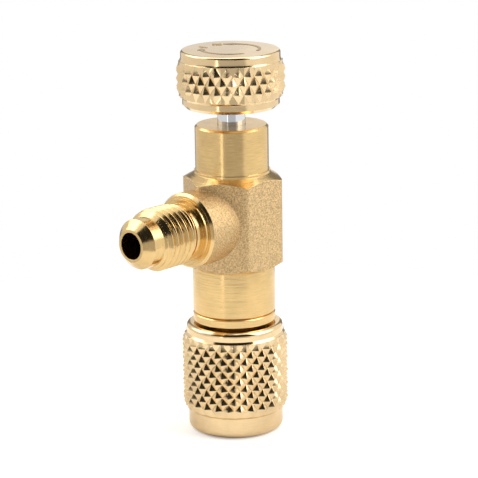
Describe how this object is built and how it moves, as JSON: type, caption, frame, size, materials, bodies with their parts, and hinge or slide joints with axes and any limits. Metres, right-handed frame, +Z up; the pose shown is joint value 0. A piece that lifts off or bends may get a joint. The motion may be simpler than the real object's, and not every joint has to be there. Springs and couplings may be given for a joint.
{
  "type": "refrigerant service valve",
  "caption": "Brass refrigerant service valve: knurled knob on a steel stem, hexagonal body with a flare side port, and a knurled swivel coupling nut below.",
  "frame": {"origin": "on the main axis, at the mouth of the coupling nut, which is also what the valve stands on", "axes": "+Z up the main axis from the nut's mouth to the knob; the side port points along -Y; X across"},
  "size_m": [0.0196, 0.0356, 0.0701],
  "materials": {
    "forged_brass": "satin, blasted forging with turned barrels",
    "turned_brass": "polished turned brass",
    "stem_steel": "polished stainless steel",
    "pin_steel": "ground stainless steel",
    "seal_rubber": "moulded",
    "gasket": "matt flat gasket"
  },
  "bodies": {
    "root": {"valve_body": "forged_brass", "thrust_washer": "turned_brass", "tail_piece": "turned_brass", "tail_o_ring": "seal_rubber", "nut_gasket": "gasket"},
    "stem_seals": {"stem_o_ring_upper": "seal_rubber", "stem_o_ring_lower": "seal_rubber"},
    "stem": {"stem": "stem_steel", "depressor_pin": "pin_steel", "knob": "turned_brass"},
    "nut": {"coupling_nut": "turned_brass"}
  },
  "joints": [
    {"name": "stem_lift", "type": "slide", "parent": "root", "child": "stem_seals", "axis": [0, 0, 1], "range_m": [-0.003, 0]},
    {"name": "knob_turn", "type": "hinge", "parent": "stem_seals", "child": "stem", "pos_m": [0, 0, 0.0599], "axis": [0, 0, 1], "range_deg": [-1082, 0]},
    {"name": "nut_swivel", "type": "hinge", "parent": "root", "child": "nut", "pos_m": [0, 0, 0.01], "axis": [0, 0, 1], "continuous": true}
  ],
  "couplings": [
    {"joint": "knob_turn", "follows": "stem_lift", "rad_per_m": 6283.2}
  ]
}
